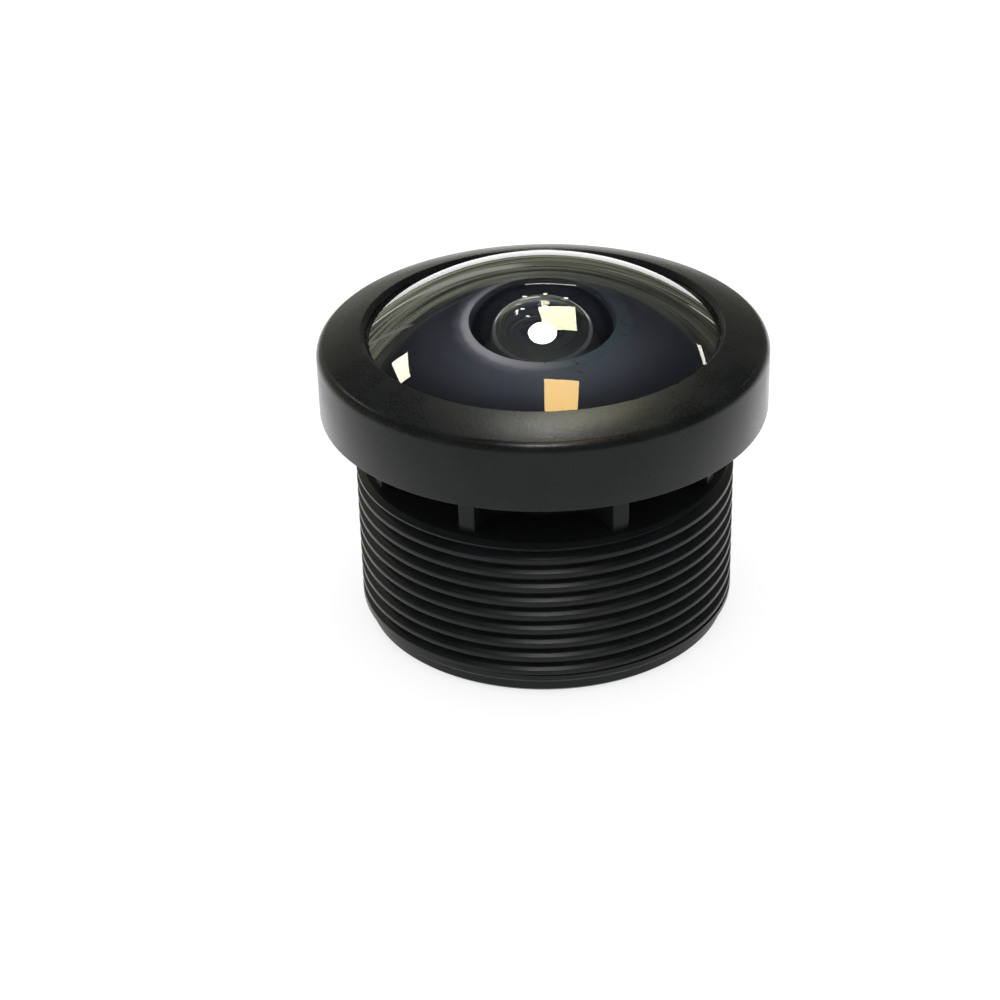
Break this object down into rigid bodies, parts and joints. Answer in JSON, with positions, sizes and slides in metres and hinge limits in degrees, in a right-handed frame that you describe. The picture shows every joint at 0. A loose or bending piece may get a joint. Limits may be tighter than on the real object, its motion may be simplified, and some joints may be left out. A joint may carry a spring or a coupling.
{
  "type": "board camera lens",
  "caption": "Wide-angle glass lens for a board camera, with a fine screw thread on its barrel, a slotted neck and a domed front glass held by a ring cap.",
  "frame": {"origin": "centre of the barrel's rear face, on the optical axis", "axes": "+Z along the optical axis from the rear face to the domed front glass; -Y is the side that faces the viewer"},
  "size_m": [0.014, 0.014, 0.0113],
  "materials": {
    "barrel_black": "black anodised, satin",
    "cap_black": "black anodised, fine satin grain",
    "front_glass": "polished, with a blackened rear border",
    "lens_glass": "polished, coated",
    "filter_glass": "polished, thin interference coating",
    "seal_rubber": "matte",
    "foil_black": "matte black film",
    "spacer_black": "black anodised, matte",
    "retainer_black": "black anodised, satin"
  },
  "bodies": {
    "root": {"barrel": "barrel_black", "front_cap": "cap_black", "front_element": "front_glass", "front_seal_ring": "seal_rubber", "front_light_shield": "foil_black", "second_element": "lens_glass", "second_light_shield": "foil_black", "front_spacer": "spacer_black", "third_element": "lens_glass", "middle_spacer": "spacer_black", "aperture_stop": "foil_black", "doublet_front_element": "lens_glass", "doublet_rear_element": "lens_glass", "rear_light_shield": "foil_black", "rear_spacer": "spacer_black", "rear_element": "lens_glass", "ir_cut_filter": "filter_glass", "rear_retainer": "retainer_black"}
  },
  "joints": []
}
